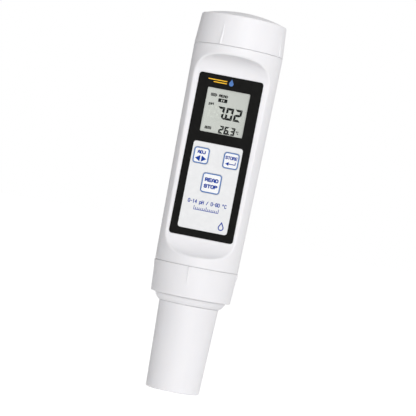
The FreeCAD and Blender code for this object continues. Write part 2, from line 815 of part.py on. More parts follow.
def make_cradle():
    """A core with four hollow channels, a floor under the cells and a board plate below."""
    cell_floor = "cradle_low + cradle_floor"
    core = rod("cradle_core", "cell_orbit - 0.5", "cradle_low", "cradle_high")
    floor = rod("cradle_disc", "cavity_radius - 0.2", "cradle_low", cell_floor)
    front_cut = box(
        "cradle_front_cut", ("-20", "20"), ("-20", "cradle_front"),
        ("cradle_low - overcut", "cradle_high + overcut"))
    channels = [
        rod(
            "channel_%d" % number, "cell_radius + 0.15", cell_floor, "cradle_high + overcut",
            *cell_place(steps))
        for number, steps in enumerate(CELL_STEPS)
    ]
    plate = box(
        "board_plate", ("-9", "9"), ("cradle_front", "cradle_front + 2"),
        ("cavity_floor + 2.5", "cradle_low + 0.5"))
    holes = at_screws(lambda name, x, z: level_rod(
        "cradle_hole_" + name, "screw_shank_radius + slack", "cradle_front - overcut", "cradle_front + 2.2",
        x, z))
    blank = fuse("cradle_blank", core, floor, plate)
    keep("battery_cradle", cut("battery_cradle", blank, front_cut, *channels, *holes))


def make_spring(number, x, y):
    """A coil spring under one cell."""
    body = doc.addObject("PartDesign::Body", "spring_%d" % number)
    sketch = add_sketch(body, "spring_wire_%d" % number, "XZ_Plane")
    middle = FreeCAD.Vector(value("spring_radius"), 0, 0)
    sketch.addGeometry(Part.Circle(middle, FreeCAD.Vector(0, 0, 1), value("spring_wire")), False)
    bind_point(sketch, 0, 3, "spring_radius", "0")
    index = sketch.addConstraint(Sketcher.Constraint("Radius", 0, value("spring_wire")))
    sketch.setExpression("Constraints[%d]" % index, bound("spring_wire"))
    coil = body.newObject("PartDesign::AdditiveHelix", "spring_coil_%d" % number)
    coil.Profile = sketch
    coil.ReferenceAxis = (origin_item(body, "Z_Axis"), [""])
    coil.Mode = "pitch-height-angle"
    bind(coil, {"Pitch": "spring_pitch", "Height": "cell_low - cradle_low - cradle_floor - spring_pitch"})
    return place(body, x, y, "cradle_low + cradle_floor + 0.8")


def make_cell_contacts():
    springs = [make_spring(number, *cell_place(steps)) for number, steps in enumerate(CELL_STEPS)]
    keep("battery_springs", group("battery_springs", *springs))
    plate_low = "cradle_low + cradle_floor + slack"
    plate_high = plate_low + " + 0.4"
    plates = [
        rod("spring_plate_%d" % number, "contact_radius", plate_low, plate_high, *cell_place(steps))
        for number, steps in enumerate(CELL_STEPS)
    ]
    keep("spring_plates", group("spring_plates", *plates))
    tabs = [
        box("tab_%d" % number, (low, high), ("board_back + slack", "cradle_front - slack"), ("96", "104"))
        for number, (low, high) in enumerate((("-12", "-10"), ("10", "12")))
    ]
    keep("battery_tabs", group("battery_tabs", *tabs))


# Battery cap and the contact carrier that hangs on it without turning

def make_carrier():
    top = "carrier_foot + carrier_thick"
    disc = rod("carrier_disc", "carrier_radius", "carrier_foot", top)
    tabs = box(
        "carrier_tabs", ("-key_slot_radius + 0.25", "key_slot_radius - 0.25"),
        ("-key_slot_half + 0.3", "key_slot_half - 0.3"), ("carrier_foot", top))
    bore = rod("carrier_bore", "shoulder_radius + 0.08", "carrier_foot - overcut", top + " + overcut")
    keep("contact_carrier", cut("contact_carrier", fuse("carrier_blank", disc, tabs), bore))
    plates = [
        rod(
            "cap_contact_%d" % number, "contact_radius", "carrier_foot - 0.6", "carrier_foot - slack",
            *cell_place(steps))
        for number, steps in enumerate(CELL_STEPS)
    ]
    keep("cap_contacts", group("cap_contacts", *plates))


def make_battery_cap():
    rim_low = "lid_rim - 0.5"
    dome_radius, dome_rise = "(lid_rim_radius - lid_rim_round)", "(lid_top - lid_rim - slack)"
    dome = "(%s ^ 2 + %s ^ 2) / (2 * %s)" % (dome_radius, dome_rise, dome_rise)
    body = revolved("lid_body", [
        ("boss_radius", "boss_foot"),
        ("boss_radius", "lid_top - 3"),
        ("lid_bore - 3", "lid_rim - 1.4"),
        ("lid_bore - 1.2", "upper_neck_top + 1.4"),
        ("lid_bore", "upper_neck_top + 0.6"),
        ("lid_bore", "lid_foot"),
        ("housing_top_radius - edge_break", "lid_foot"),
        ("housing_top_radius", "lid_foot + edge_break"),
        ("lid_rim_radius + lid_rim_round", rim_low),
        (dome_radius, "lid_rim + slack"),
        ("0", "lid_top"),
        ("0", "lid_top - 5"),
        ("pivot_thread_radius + slack", "lid_top - 5"),
        ("pivot_thread_radius + slack", "boss_foot"),
    ], {8: "0.7", 9: dome})
    add_thread(
        body, "lid_thread", "lid_bore + thread_overlap", "lid_bore - thread_height + 0.1",
        "upper_thread_start + thread_pitch / 2")
    slope = "(housing_top_radius - lid_rim_radius - lid_rim_round) / (lid_rim - lid_foot)"
    thin_radius = "housing_top_radius - lid_rib_length * %s" % slope
    keep("battery_cap", fuse("battery_cap", body, ribs(
        "lid_rib", "lid_rib_angle", "lid_foot + 0.15", "housing_top_radius",
        "lid_foot + lid_rib_length", thin_radius)))
    keep("carrier_pivot_screw", revolved("carrier_pivot_screw", [
        ("0", "carrier_foot - 2"),
        ("pivot_head_radius", "carrier_foot - 2"),
        ("pivot_head_radius", "carrier_foot - 0.4"),
        ("shoulder_radius", "carrier_foot - 0.4"),
        ("shoulder_radius", "boss_foot - slack"),
        ("pivot_thread_radius", "boss_foot - slack"),
        ("pivot_thread_radius", "lid_top - 6"),
        ("0", "lid_top - 6"),
    ]))


def save_pieces():
    """Stops if anything failed, and writes each piece to its own file."""
    doc.recompute()
    for item in doc.Objects:
        if "Invalid" in item.State or "Error" in item.State:
            raise RuntimeError("%s is %s" % (item.Name, item.State))
    os.makedirs("parts", exist_ok=True)
    for item in pieces:
        shape = item.Shape
        if shape.isNull() or not shape.isValid() or shape.Volume <= 0:
            raise RuntimeError("%s has no valid solid" % item.Label)
        shape.exportStep("parts/%s.step" % item.Label)
        print("%-26s %10.2f mm3, %d solid(s)" % (item.Label, shape.Volume, len(shape.Solids)))


make_storage_cap()
make_module_body()
make_sensor()
make_connector()
make_collar()
make_housing()
make_front()
make_keys()
make_display()
make_board()
make_cells()
make_cradle()
make_cell_contacts()
make_carrier()
make_battery_cap()
save_pieces()
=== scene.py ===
import json
import math

import bmesh
import bpy
from mathutils import Matrix, Vector
from mathutils.geometry import delaunay_2d_cdt


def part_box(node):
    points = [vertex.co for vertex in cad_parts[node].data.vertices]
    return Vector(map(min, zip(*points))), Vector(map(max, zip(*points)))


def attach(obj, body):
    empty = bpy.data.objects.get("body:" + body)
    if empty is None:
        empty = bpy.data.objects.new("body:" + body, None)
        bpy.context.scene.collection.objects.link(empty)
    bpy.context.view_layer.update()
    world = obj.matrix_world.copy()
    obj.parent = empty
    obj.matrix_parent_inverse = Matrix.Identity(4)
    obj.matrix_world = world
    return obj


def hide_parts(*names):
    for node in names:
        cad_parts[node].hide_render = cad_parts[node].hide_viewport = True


# Looks for the pocket pH and temperature tester. The CAD nodes keep their shapes and get
# procedural materials here; printed marks, the display's segments and the soft sponge are new
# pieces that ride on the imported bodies. Metres, +Z up, the display faces -Y.

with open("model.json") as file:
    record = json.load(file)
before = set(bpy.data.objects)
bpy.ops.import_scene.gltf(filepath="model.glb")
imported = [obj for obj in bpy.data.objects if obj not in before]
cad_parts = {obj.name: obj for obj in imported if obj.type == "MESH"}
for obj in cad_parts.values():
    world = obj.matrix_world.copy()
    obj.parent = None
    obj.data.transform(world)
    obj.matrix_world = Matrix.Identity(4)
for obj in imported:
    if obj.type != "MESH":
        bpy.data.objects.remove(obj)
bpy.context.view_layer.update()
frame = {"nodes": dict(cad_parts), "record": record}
nodes = frame["nodes"]

MM = 0.001
PRINT_THICK = 0.03 * MM         # ink and display segments stand this far off their face
FLAT_GLOSS = 0.07               # specular level of matt films and inks


# Materials

# The mix node's sockets for colours, by number because several share a name
MIX_SHARE, MIX_FIRST, MIX_SECOND, MIX_RESULT = 0, 6, 7, 2


class Look:
    """A node material around one Principled shader, in the object's own coordinates."""

    def __init__(self, name, roughness, metallic=0.0):
        self.material = bpy.data.materials.new(name)
        self.material.use_nodes = True
        self.tree = self.material.node_tree
        self.shader = self.tree.nodes["Principled BSDF"]
        self.set("Roughness", roughness)
        self.set("Metallic", metallic)
        self.place = self.node("ShaderNodeTexCoord").outputs["Object"]

    def node(self, kind, **settings):
        made = self.tree.nodes.new(kind)
        for name, value in settings.items():
            setattr(made, name, value)
        return made

    def link(self, out, into):
        self.tree.links.new(out, into)

    def set(self, socket, value):
        self.shader.inputs[socket].default_value = value

    def along(self, axis):
        """The object's coordinate on one axis, in metres."""
        split = self.node("ShaderNodeSeparateXYZ")
        self.link(self.place, split.inputs["Vector"])
        return split.outputs[axis]

    def stretched(self, scale):
        """The object's coordinates times a scale for each axis."""
        mapping = self.node("ShaderNodeMapping")
        mapping.inputs["Scale"].default_value = scale
        self.link(self.place, mapping.inputs["Vector"])
        return mapping.outputs["Vector"]

    def noise(self, scale, detail=2.0, rough=0.5, stretch=None):
        """Noise of about scale features a metre."""
        texture = self.node("ShaderNodeTexNoise")
        texture.inputs["Scale"].default_value = scale
        texture.inputs["Detail"].default_value = detail
        texture.inputs["Roughness"].default_value = rough
        self.link(self.stretched(stretch) if stretch else self.place, texture.inputs["Vector"])
        return texture.outputs["Fac"]

    def cells(self, scale):
        """Distance from the walls between about scale cells a metre."""
        texture = self.node("ShaderNodeTexVoronoi", feature="DISTANCE_TO_EDGE")
        texture.inputs["Scale"].default_value = scale
        self.link(self.place, texture.inputs["Vector"])
        return texture.outputs["Distance"]

    def ramp(self, fac, stops):
        """A colour or grey ramp: stops are pairs of position and colour."""
        ramp = self.node("ShaderNodeValToRGB")
        while len(ramp.color_ramp.elements) < len(stops):
            ramp.color_ramp.elements.new(0.5)
        for element, (position, colour) in zip(ramp.color_ramp.elements, stops):
            element.position = position
            element.color = (*colour, 1.0)
        self.link(fac, ramp.inputs["Fac"])
        return ramp.outputs["Color"]

    def mix(self, fac, first, second, blend="MIX"):
        """Two colours mixed. Each is a socket or a plain colour, and fac a socket or a number."""
        mixer = self.node("ShaderNodeMix", data_type="RGBA", blend_type=blend)
        for number, value in ((MIX_SHARE, fac), (MIX_FIRST, first), (MIX_SECOND, second)):
            if isinstance(value, bpy.types.NodeSocket):
                self.link(value, mixer.inputs[number])
            elif number == MIX_SHARE:
                mixer.inputs[number].default_value = value
            else:
                mixer.inputs[number].default_value = (*value, 1.0)
        return mixer.outputs[MIX_RESULT]

    def range(self, fac, low, high, start=0.3, stop=0.7):
        """The number fac moved from start..stop to low..high."""
        mapped = self.node("ShaderNodeMapRange")
        spans = {"From Min": start, "From Max": stop, "To Min": low, "To Max": high}
        for name, value in spans.items():
            mapped.inputs[name].default_value = value
        self.link(fac, mapped.inputs["Value"])
        return mapped.outputs["Result"]

    def colour(self, socket):
        self.link(socket, self.shader.inputs["Base Color"])

    def mottled(self, shades, scale, stretch=None):
        """A base colour that drifts between two shades."""
        drift = self.noise(scale, detail=4.0, rough=0.6, stretch=stretch)
        self.colour(self.ramp(drift, [(0.32, shades[0]), (0.68, shades[1])]))

    def gloss_drift(self, roughness, scale, stretch=None):
        """A roughness that drifts between two values."""
        drift = self.noise(scale, detail=3.0, rough=0.6, stretch=stretch)
        self.link(self.range(drift, *roughness), self.shader.inputs["Roughness"])

    def bump(self, heights, depth, edge=0.0):
        """Relief of a depth in metres from a 0..1 height, with edges eased to a radius."""
        relief = self.node("ShaderNodeBump")
        relief.inputs["Strength"].default_value = 1.0
        relief.inputs["Distance"].default_value = depth
        self.link(heights, relief.inputs["Height"])
        if edge:
            self.link(self.eased(edge), relief.inputs["Normal"])
        self.link(relief.outputs["Normal"], self.shader.inputs["Normal"])

    def eased(self, radius):
        """Normals that round every edge off to a radius."""
        bevel = self.node("ShaderNodeBevel", samples=6)
        bevel.inputs["Radius"].default_value = radius
        return bevel.outputs["Normal"]


def white_plastic(name, shades, roughness, grain=0.010 * MM):
    """Moulded ABS: a faint drift in shade and gloss, a fine spark-eroded grain, a little translucent."""
    look = Look(name, roughness[0])
    drift = look.noise(38.0, detail=4.0, rough=0.6, stretch=(1.0, 1.0, 0.35))
    look.colour(look.ramp(drift, [(0.30, shades[0]), (0.70, shades[1])]))
    look.set("Subsurface Weight", 0.35)
    look.set("Subsurface Radius", (1.0, 0.95, 0.9))
    look.set("Subsurface Scale", 0.8 * MM)
    look.gloss_drift(roughness, 900.0)
    look.bump(look.noise(3800.0), grain, edge=0.25 * MM)
    return look


def printed_film(name, shades, roughness):
    """Screen-printed polyester film with a fine matt grain."""
    look = Look(name, roughness[0])
    look.mottled(shades, 420.0)
    look.gloss_drift(roughness, 1500.0)
    look.set("Specular IOR Level", FLAT_GLOSS)
    look.bump(look.noise(5200.0, rough=0.6), 0.006 * MM, edge=0.08 * MM)
    return look


def drawn_metal(name, shades, roughness, stretch):
    """Drawn or brushed metal, streaked along one direction."""
    look = Look(name, roughness[0], metallic=1.0)
    look.mottled(shades, 700.0, stretch)
    look.gloss_drift(roughness, 2600.0, stretch)
    look.bump(look.noise(6000.0, stretch=stretch), 0.004 * MM)
    return look


def ink(name, colour):
    """A printed mark, slightly uneven in depth."""
    look = Look(name, 0.45)
    lighter = tuple(min(1.0, part * 1.25 + 0.004) for part in colour)
    look.mottled((colour, lighter), 900.0)
    look.set("Specular IOR Level", FLAT_GLOSS)
    look.bump(look.noise(5200.0), 0.004 * MM)
    return look


def display_back():
    """The grey-green reflector behind the display: a fine sparkle, and a painted shade that darkens it to
    the right.
    """
    look = Look("display_back", 0.34)
    sparkle = look.noise(7000.0, detail=1.0)
    speckle = look.ramp(sparkle, [(0.30, (0.640, 0.665, 0.615)), (0.72, (0.715, 0.738, 0.690))])
    drift = look.ramp(look.noise(60.0), [(0.3, (0.95, 0.955, 0.95)), (0.7, (1.0, 1.0, 1.0))])
    low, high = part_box("display_glass")
    # Painted shade: the reflector's colour is darkened from its left edge to its right edge.
    side = look.range(look.along("X"), 0.0, 1.0, start=low.x, stop=high.x)
    shade = look.mix(side, (1.0, 1.0, 1.0), (0.88, 0.88, 0.885))
    look.colour(look.mix(1.0, look.mix(1.0, speckle, drift, "MULTIPLY"), shade, "MULTIPLY"))
    look.gloss_drift((0.28, 0.40), 2500.0)
    look.bump(sparkle, 0.003 * MM)
    return look


def clear_window():
    """Hard-coated film: nearly all of it see-through, with a soft gloss."""
    look = Look("clear_window", 0.12)
    look.set("Alpha", 0.04)
    look.mottled(((0.10, 0.11, 0.105), (0.16, 0.17, 0.165)), 120.0)
    look.gloss_drift((0.08, 0.16), 1400.0)
    look.bump(look.noise(2600.0), 0.001 * MM)
    return look


def membrane_glass():
    """Thin blown glass, a little wavy."""
    look = Look("membrane_glass", 0.04)
    look.set("Alpha", 0.32)
    look.mottled(((0.78, 0.88, 0.90), (0.90, 0.96, 0.97)), 160.0)
    look.gloss_drift((0.03, 0.07), 500.0)
    look.bump(look.noise(260.0), 0.05 * MM)
    return look


def seal_rubber():
    """Black nitrile rubber, dull and faintly pored."""
    look = Look("seal_rubber", 0.55)
    look.mottled(((0.012, 0.012, 0.013), (0.028, 0.028, 0.030)), 500.0)
    look.gloss_drift((0.45, 0.65), 1500.0)
    look.bump(look.noise(5000.0), 0.01 * MM)
    return look


def sponge_foam():
    """Open-cell foam, with painted shade that darkens its pores against its walls."""
    look = Look("sponge_foam", 0.9)
    pores = look.cells(1500.0)
    # Painted shade: the pores, sunk in by the bump below, are coloured darker than the walls.
    wall, middle, shaded_pore = (0.80, 0.72, 0.44), (0.62, 0.53, 0.28), (0.42, 0.34, 0.15)
    look.colour(look.ramp(pores, [(0.0, wall), (0.25, middle), (0.6, shaded_pore)]))
    look.set("Sheen Weight", 0.3)
    look.bump(look.range(pores, 1.0, 0.0, start=0.0, stop=0.3), 0.12 * MM)
    return look


def ceramic():
    """The reference junction's unglazed, porous ceramic."""
    look = Look("porous_ceramic", 0.8)
    look.mottled(((0.70, 0.67, 0.60), (0.86, 0.84, 0.79)), 2500.0)
    look.bump(look.noise(6000.0, detail=3.0), 0.03 * MM)
    return look


def circuit_board():
    """Green solder mask over faint copper tracks."""
    look = Look("solder_mask", 0.35)
    tracks = look.node("ShaderNodeTexBrick")
    settings = {
        "Scale": 420.0, "Mortar Size": 0.06, "Color1": (0.012, 0.120, 0.040, 1.0),
        "Color2": (0.014, 0.150, 0.050, 1.0), "Mortar": (0.030, 0.210, 0.075, 1.0),
    }
    for name, value in settings.items():
        tracks.inputs[name].default_value = value
    upright = look.node("ShaderNodeMapping")
    upright.inputs["Rotation"].default_value = (math.radians(90), 0.0, 0.0)
    look.link(look.place, upright.inputs["Vector"])
    look.link(upright.outputs["Vector"], tracks.inputs["Vector"])
    look.colour(tracks.outputs["Color"])
    look.gloss_drift((0.28, 0.42), 900.0)
    look.bump(look.noise(1800.0), 0.008 * MM)
    return look


def dark_moulding(name, shades):
    """Dark moulded plastic or resin with a fine grain."""
    look = Look(name, 0.5)
    look.mottled(shades, 260.0)
    look.gloss_drift((0.42, 0.6), 1200.0)
    look.bump(look.noise(3600.0), 0.012 * MM, edge=0.15 * MM)
    return look


def battery_sleeve():
    """A shrink-wrapped cell: a dark sleeve that turns copper-coloured towards its top."""
    look = Look("battery_sleeve", 0.28)
    low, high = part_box("battery_cell_1")
    fold = low.z + 0.72 * (high.z - low.z)
    blur = 0.1 * MM
    above_fold = look.range(look.along("Z"), 0.0, 1.0, start=fold - blur, stop=fold + blur)
    sleeve = look.ramp(look.noise(300.0), [(0.3, (0.020, 0.026, 0.045)), (0.7, (0.030, 0.040, 0.065))])
    look.colour(look.mix(above_fold, sleeve, (0.42, 0.20, 0.09)))
    look.gloss_drift((0.2, 0.36), 800.0)
    look.bump(look.noise(1500.0), 0.01 * MM)
    return look


# Each slot's finish. Shades and roughness are the two ends of a drift.
LOOKS = {
    "housing_plastic": white_plastic(
        "housing_white", shades=((0.845, 0.836, 0.857), (0.885, 0.876, 0.898)), roughness=(0.36, 0.46)),
    "key_plastic": white_plastic(
        "key_white", shades=((0.93, 0.93, 0.935), (0.96, 0.96, 0.965)), roughness=(0.38, 0.48),
        grain=0.006 * MM),
    "black_film": printed_film(
        "black_film", shades=((0.0050, 0.0050, 0.0047), (0.0080, 0.0079, 0.0074)), roughness=(0.46, 0.60)),
    "pale_film": printed_film(
        "pale_film", shades=((0.802, 0.805, 0.815), (0.842, 0.845, 0.852)), roughness=(0.42, 0.55)),
    "clear_window": clear_window(),
    "display_glass": display_back(),
    "inner_plastic": dark_moulding("dark_plastic", shades=((0.020, 0.021, 0.023), (0.034, 0.035, 0.038))),
    "seal_rubber": seal_rubber(),
    "sponge": sponge_foam(),
    "membrane_glass": membrane_glass(),
    "silver_wire": drawn_metal(
        "silver", shades=((0.66, 0.65, 0.62), (0.82, 0.81, 0.79)), roughness=(0.25, 0.4),
        stretch=(1.0, 1.0, 0.08)),
    "steel": drawn_metal(
        "stainless_steel", shades=((0.46, 0.46, 0.47), (0.62, 0.62, 0.63)), roughness=(0.22, 0.36),
        stretch=(1.0, 1.0, 0.12)),
    "ceramic": ceramic(),
    "board": circuit_board(),
    "chip": dark_moulding("chip_moulding", shades=((0.010, 0.010, 0.011), (0.020, 0.020, 0.021))),
    "gold_contact": drawn_metal(
        "gold_plate", shades=((0.80, 0.53, 0.20), (0.93, 0.68, 0.32)), roughness=(0.2, 0.32),
        stretch=(1.0, 1.0, 0.2)),
    "cell_can": battery_sleeve(),
}

INKS = {
    "blue": ink("blue_ink", (0.006, 0.042, 0.30)),
    "soft_blue": ink("soft_blue_ink", (0.085, 0.19, 0.46)),
    "amber": ink("amber_ink", (0.95, 0.48, 0.03)),
    "display": ink("display_black", (0.006, 0.007, 0.006)),
    "ghost": ink("display_ghost", (0.600, 0.624, 0.577)),
}


def place(name, mesh, material):
    """A new object of one material in the scene, from a bmesh that is then freed."""
    made = bpy.data.meshes.new(name)
    mesh.to_mesh(made)
    mesh.free()
    made.materials.append(material)
    piece = bpy.data.objects.new(name, made)
    bpy.context.scene.collection.objects.link(piece)
    return piece


def dress_nodes():
    """Gives every CAD node its slot's finish."""
    slots = {row["node"]: row["material_slot"] for row in frame["record"]["subparts"]}
    for name, item in nodes.items():
        item.data.materials.clear()
        item.data.materials.append(LOOKS[slots[name]].material)


# Flat printed marks. Shapes are lists of (x, z) in millimetres on a face that looks along -Y.

JOIN_WITHIN = 0.0005            # corners of a mark nearer than this, in millimetres, become one


class Print:
    """Flat shapes gathered into one raised piece of ink on one face."""

    def __init__(self, name, body, slot, colour, face_y):
        self.name, self.body, self.slot = name, body, slot
        self.material = INKS[colour].material
        self.back, self.front = face_y, face_y - PRINT_THICK
        self.shapes = []

    def fill(self, points):
        """A filled outline, given anticlockwise as seen from the front."""
        self.shapes.append([Vector(point) for point in points])

    def band(self, outer, inner):
        """The strip between two outlines with as many points each."""
        for here in range(len(outer)):
            after = (here + 1) % len(outer)
            self.fill([outer[here], outer[after], inner[after], inner[here]])

    def ribbon(self, points, width, closed=False):
        """A line of one width through the points, with round corners and ends."""
        spots = [Vector(point) for point in points]
        for start, stop in zip(spots, spots[1:] + spots[:1] * closed):
            way = (stop - start).normalized() * width / 2
            side = Vector((-way.y, way.x))
            self.fill([start - side, stop - side, stop + side, start + side])
        for spot in spots:
            self.fill(circle(*spot, width / 2, steps=16))

    def write(self, words, x, z, width, height, stroke):
        """Plain block lettering centred on x and z, measured to the outsides of its strokes."""
        step = (width - stroke) / (LETTER_PITCH * len(words) - LETTER_GAP)
        rise = (height - stroke) / LETTER_TALL
        for number, letter in enumerate(words):
            left = x - (width - stroke) / 2 + number * LETTER_PITCH * step
            for closed, points in LETTERS[letter]:
                spots = [(left + px * step, z + (pz - LETTER_TALL / 2) * rise) for px, pz in points]
                self.ribbon(spots, stroke, closed)

    def finish(self):
        """Joins the shapes into one outline and raises it off its face."""
        corners, outlines = [], []
        for shape in self.shapes:
            outlines.append(list(range(len(corners), len(corners) + len(shape))))
            corners += shape
        inside_only = 1
        spots, _, patches, _, _, sources = delaunay_2d_cdt(corners, [], outlines, inside_only, JOIN_WITHIN)
        mesh = bmesh.new()
        fore = [mesh.verts.new((spot.x * MM, self.front, spot.y * MM)) for spot in spots]
        rear = [mesh.verts.new((spot.x * MM, self.back, spot.y * MM)) for spot in spots]
        for patch, source in zip(patches, sources):
            if source:
                mesh.faces.new([fore[corner] for corner in patch])
                mesh.faces.new([rear[corner] for corner in reversed(patch)])
        partner = dict(zip(fore, rear))
        rims = [loop for face in mesh.faces for loop in face.loops
                if loop.vert in partner and len(loop.edge.link_faces) == 1]
        for start, stop in [(loop.vert, loop.link_loop_next.vert) for loop in rims]:
            mesh.faces.new((stop, start, partner[start], partner[stop]))
        bmesh.ops.delete(mesh, geom=[vert for vert in mesh.verts if not vert.link_faces], context="VERTS")
        piece = place(self.name, mesh, self.material)
        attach(piece, self.body)


def rounded(x, z, width, height, corner, steps=6):
    """A rounded rectangle's outline, anticlockwise."""
    points = []
    for side, (sx, sz) in enumerate(((1, -1), (1, 1), (-1, 1), (-1, -1))):
        cx = x + sx * (width / 2 - corner)
        cz = z + sz * (height / 2 - corner)
        for step in range(steps + 1):
            angle = math.radians(90 * (side - 1) + 90 * step / steps)
            points.append((cx + corner * math.cos(angle), cz + corner * math.sin(angle)))
    return points


def circle(x, z, radius, steps):
    """A circle's outline, anticlockwise."""
    turns = [math.tau * step / steps for step in range(steps)]
    return [(x + radius * math.cos(turn), z + radius * math.sin(turn)) for turn in turns]


def droplet(x, z, radius, steps=24):
    """A drop: a round bottom that rises to a point, anticlockwise."""
    points = []
    for step in range(steps + 1):
        angle = math.radians(150 + 240 * step / steps)
        points.append((x + radius * math.cos(angle), z + radius * math.sin(angle)))
    return points + [(x, z + 2.1 * radius)]


def arrowhead(back, tip, z, half_height):
    """A triangle from its flat back to its tip, anticlockwise."""
    low, high = (back, z - half_height), (back, z + half_height)
    return [(tip, z), low, high] if tip < back else [high, low, (tip, z)]


# Block letters on a grid 4 wide and 6 high: each stroke is open or closed, through its points.
LETTER_WIDE, LETTER_TALL = 4, 6
LETTER_GAP = 1.7
LETTER_PITCH = LETTER_WIDE + LETTER_GAP
BOWL = ((1, 0), (3, 0), (4, 1), (4, 5), (3, 6), (1, 6), (0, 5), (0, 1))
LOOP = ((0, 0), (0, 6), (3, 6), (4, 5), (4, 4), (3, 3), (0, 3))
LETTERS = {
    " ": [],
    "A": [(False, ((0, 0), (0, 4), (1.4, 6), (2.6, 6), (4, 4), (4, 0))), (False, ((0, 2.2), (4, 2.2)))],
    "C": [(False, ((4, 5), (3, 6), (1, 6), (0, 5), (0, 1), (1, 0), (3, 0), (4, 1)))],
    "D": [(True, ((0, 0), (2.8, 0), (4, 1.2), (4, 4.8), (2.8, 6), (0, 6)))],
    "E": [(False, ((4, 6), (0, 6), (0, 0), (4, 0))), (False, ((0, 3), (3.4, 3)))],
    "H": [(False, ((0, 0), (0, 6))), (False, ((4, 0), (4, 6))), (False, ((0, 3), (4, 3)))],
    "J": [(False, ((4, 6), (4, 1), (3, 0), (1, 0), (0, 1)))],
    "O": [(True, BOWL)],
    "P": [(False, LOOP)],
    "R": [(False, LOOP), (False, ((2.2, 3), (4, 0)))],
    "S": [(False, ((4, 5), (3, 6), (1, 6), (0, 5), (0, 4), (1, 3), (3, 3), (4, 2), (4, 1), (3, 0),
                   (1, 0), (0, 1)))],
    "T": [(False, ((0, 6), (4, 6))), (False, ((2, 0), (2, 6)))],
    "U": [(False, ((0, 6), (0, 1), (1, 0), (3, 0), (4, 1), (4, 6)))],
    "p": [(True, ((0, 0), (3, 0), (4, 1), (4, 3), (3, 4), (0, 4))), (False, ((0, -2), (0, 0)))],
    "0": [(True, BOWL)],
    "1": [(False, ((1, 5), (2, 6), (2, 0)))],
    "4": [(False, ((4, 2), (0, 2), (3, 6), (3, 0)))],
    "6": [(False, ((4, 5), (3, 6), (1, 6), (0, 5), (0, 1), (1, 0), (3, 0), (4, 1), (4, 2.4), (3, 3.4),
                   (0, 3.4)))],
    "-": [(False, ((0.8, 3), (3.2, 3)))],
    "/": [(False, ((0.4, 0), (3.6, 6)))],
    "*": [(True, ((0.8, 4), (2.2, 4), (2.2, 6), (0.8, 6)))],     # the degree sign
}

# The lit bars of each seven-segment digit: a on top, then clockwise to f, and g in the middle
SEGMENTS = {" ": "", "0": "abcdef", "2": "abged", "3": "abgcd", "6": "afgedc", "7": "abc", "8": "abcdefg"}
DIGIT_SLANT = 0.07
LARGE_DIGIT = {"width": 3.25, "height": 5.5, "stroke": 0.98, "gap": 0.05}
SMALL_DIGIT = {"width": 2.1, "height": 3.5, "stroke": 0.74, "gap": 0.04}


def segment_outlines(symbol, x, z, width, height, stroke, gap):
    """The lit bars of one seven-segment digit whose lower left corner is at x and z."""
    middle, half = height / 2, stroke / 2
    upper_left = [(0, middle + gap), (stroke, middle + half + gap), (stroke, height - stroke - gap),
                  (0, height - gap)]
    top = [(gap, height), (stroke + gap, height - stroke), (width - stroke - gap, height - stroke),
           (width - gap, height)]
    bars = {
        "a": top, "f": upper_left,
        "b": [(width - px, pz) for px, pz in reversed(upper_left)],
        "c": [(width - px, height - pz) for px, pz in upper_left],
        "d": [(px, height - pz) for px, pz in reversed(top)],
        "e": [(px, height - pz) for px, pz in reversed(upper_left)],
        "g": [(gap, middle), (stroke, middle - half), (width - stroke, middle - half),
              (width - gap, middle), (width - stroke, middle + half), (stroke, middle + half)],
    }
    return [[(x + px + pz * DIGIT_SLANT, z + pz) for px, pz in bars[bar]] for bar in SEGMENTS[symbol]]


def box_mm(node):
    """A CAD node's box in millimetres."""
    low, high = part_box(node)
    return low / MM, high / MM


KEY_FLANGE = 0.9                # a key's hidden flange reaches this far past its face on every side
OUTLINE_MARGIN = 0.03           # bare rim outside a key's outline
OUTLINE_WIDTH = 0.45
OUTER_CORNER, INNER_CORNER = 1.25, 0.8


def left_legend(legend, x, z):
    """A word over two arrowheads that point apart."""
    legend.write("ADJ", x - 0.05, z + 1.45, width=3.6, height=1.5, stroke=0.40)
    for side in (-1, 1):
        legend.fill(arrowhead(x + side * 0.3, x + side * 2.5, z - 1.4, half_height=1.4))


def right_legend(legend, x, z):
    """A word over an arrow that comes down and turns back to the left."""
    legend.write("STORE", x, z + 1.2, width=5.4, height=1.5, stroke=0.33)
    shaft_z, bend_x = z - 1.5, x + 2.1
    legend.fill(arrowhead(x - 0.8, x - 2.3, shaft_z, half_height=0.85))
    legend.ribbon([(x - 0.7, shaft_z), (bend_x, shaft_z), (bend_x, shaft_z + 1.0)], 0.36)


def lower_legend(legend, x, z):
    """Two words, one above the other."""
    legend.write("READ", x, z + 1.4, width=6.1, height=1.75, stroke=0.47)
    legend.write("STOP", x, z - 1.45, width=6.1, height=1.75, stroke=0.47)


KEY_LEGENDS = {"left_key": left_legend, "right_key": right_legend, "lower_key": lower_legend}


def print_keys():
    """Each key's outline and a generic legend."""
    for name, draw_legend in KEY_LEGENDS.items():
        low, high = box_mm(name)
        x, z = (low.x + high.x) / 2, (low.z + high.z) / 2
        edge = Print(name + "_outline", name, "key_plastic", "soft_blue", low.y * MM)
        inset = 2 * KEY_FLANGE + 2 * OUTLINE_MARGIN
        width, height = high.x - low.x - inset, high.z - low.z - inset
        edge.band(
            rounded(x, z, width, height, OUTER_CORNER),
            rounded(x, z, width - 2 * OUTLINE_WIDTH, height - 2 * OUTLINE_WIDTH, INNER_CORNER))
        edge.finish()
        legend = Print(name + "_legend", name, "key_plastic", "blue", low.y * MM)
        draw_legend(legend, x, z)
        legend.finish()


SCALE_STEPS = 14                # the panel's scale runs from 0 to 14
SCALE_PITCH, SCALE_STROKE = 0.78, 0.26


